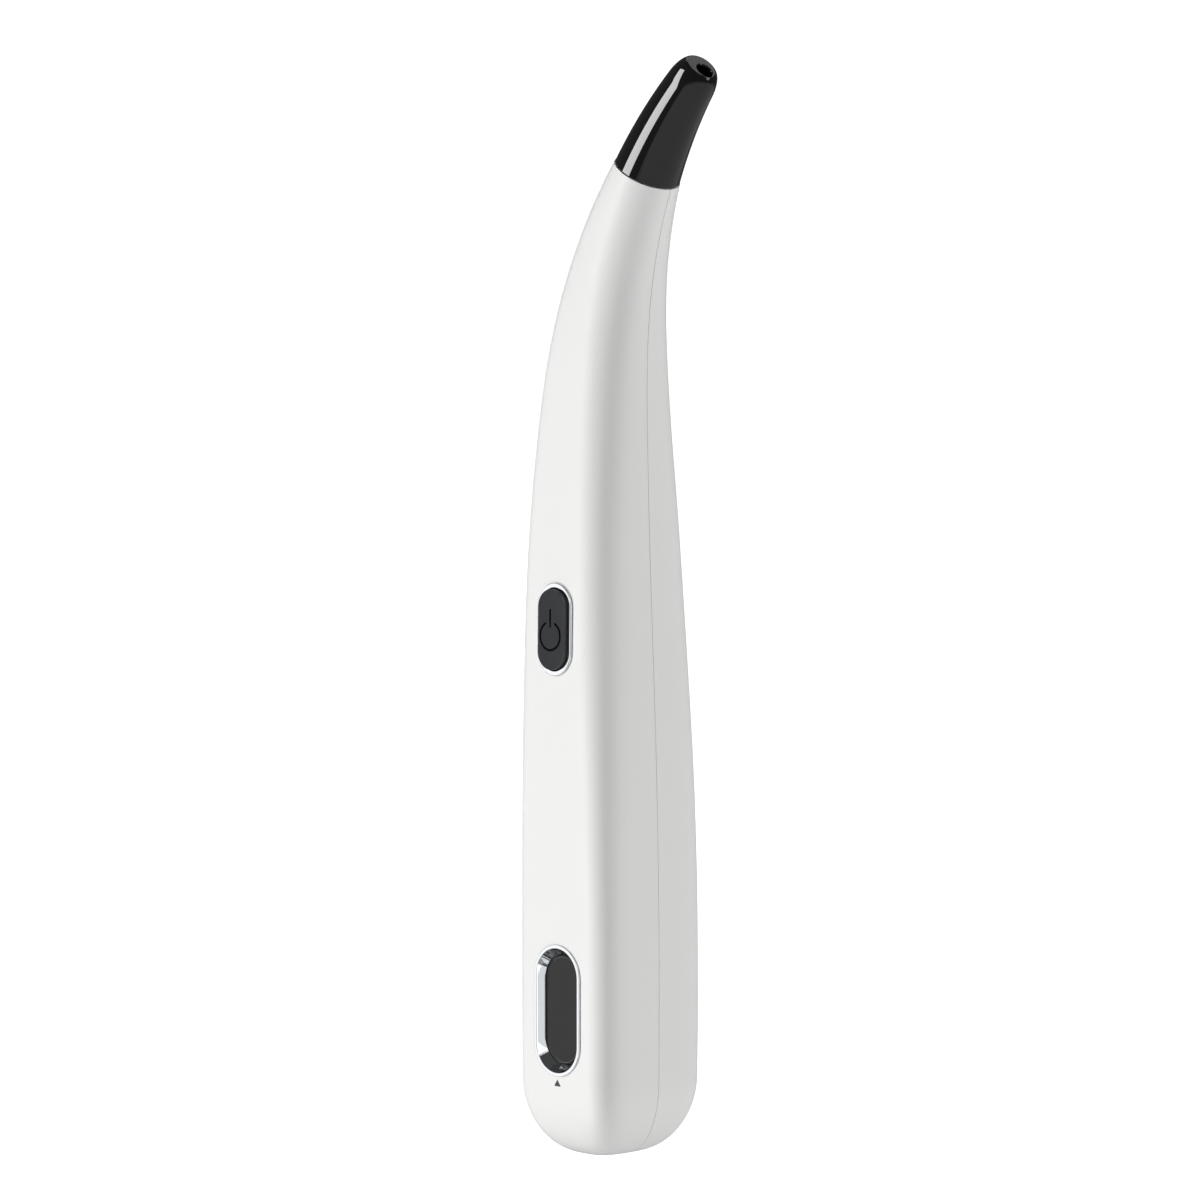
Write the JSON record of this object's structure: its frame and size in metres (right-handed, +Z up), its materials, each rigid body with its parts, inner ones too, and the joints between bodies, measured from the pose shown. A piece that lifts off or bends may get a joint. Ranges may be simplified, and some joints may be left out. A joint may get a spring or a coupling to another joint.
{
  "type": "dental curing light",
  "caption": "Cordless pen-style dental curing light: curved wand handle with a black light hood, raised power button and recessed display window.",
  "frame": {"origin": "middle of the flat under the rounded base", "axes": "+Z up along the handle, -Y out of the button and display face, the wand bends towards +X"},
  "size_m": [0.0389, 0.0282, 0.2039],
  "materials": {
    "white_abs": "glossy injection moulded",
    "black_hood": "high gloss moulded",
    "key_plastic": "satin moulded",
    "chrome_trim": "bright plated",
    "window_acrylic": "smoked acrylic, polished",
    "clear_optic": "polished clear",
    "aluminium_core": "turned",
    "green_laminate": "solder-masked laminate",
    "white_laminate": "white solder mask",
    "black_moulding": "moulded",
    "ferrite": "pressed powder",
    "silicone": "moulded",
    "foam": "closed cell",
    "cell_wrap": "shrink film",
    "gold_contact": "gold plated",
    "screw_steel": "zinc plated",
    "phosphor": "phosphor under clear dome",
    "red_insulation": "extruded",
    "black_insulation": "extruded"
  },
  "bodies": {
    "casing": {"front_shell": "white_abs", "rear_shell": "white_abs", "tip_hood": "black_hood", "button_ring": "chrome_trim", "display_bezel": "chrome_trim", "display_window": "window_acrylic", "window_foam": "foam", "digit_module": "black_moulding", "main_board": "green_laminate", "board_screw_1": "screw_steel", "board_screw_2": "screw_steel", "board_screw_3": "screw_steel", "board_screw_4": "screw_steel", "controller_chip": "black_moulding", "driver_inductor": "ferrite", "buzzer": "black_moulding", "switch_body": "black_moulding", "battery_cell": "cell_wrap", "battery_foam": "foam", "battery_connector": "white_laminate", "battery_lead_negative": "black_insulation", "battery_lead_positive": "red_insulation", "charge_contact_front": "gold_contact", "charge_contact_rear": "gold_contact", "charge_board": "green_laminate", "charge_wire_negative": "black_insulation", "charge_wire_positive": "red_insulation", "led_wire_negative": "black_insulation", "led_wire_positive": "red_insulation", "heat_sink": "aluminium_core", "hood_seal": "silicone", "led_board": "white_laminate", "led_emitter": "phosphor", "light_guide": "clear_optic", "exit_lens": "clear_optic"},
    "button": {"power_button": "key_plastic", "button_pad": "silicone"},
    "plunger": {"switch_plunger": "black_moulding"}
  },
  "joints": [
    {"name": "power_press", "type": "slide", "parent": "casing", "child": "button", "axis": [0.0009, 0.9993, -0.0363], "range_m": [0, 0.0005], "stiffness_N_per_m": 2000, "springref_m": -0.0002},
    {"name": "switch_press", "type": "slide", "parent": "casing", "child": "plunger", "axis": [0.0009, 0.9993, -0.0363], "range_m": [0, 0.0003]}
  ],
  "couplings": [
    {"joint": "switch_press", "follows": "power_press", "ratio": 0.6}
  ]
}
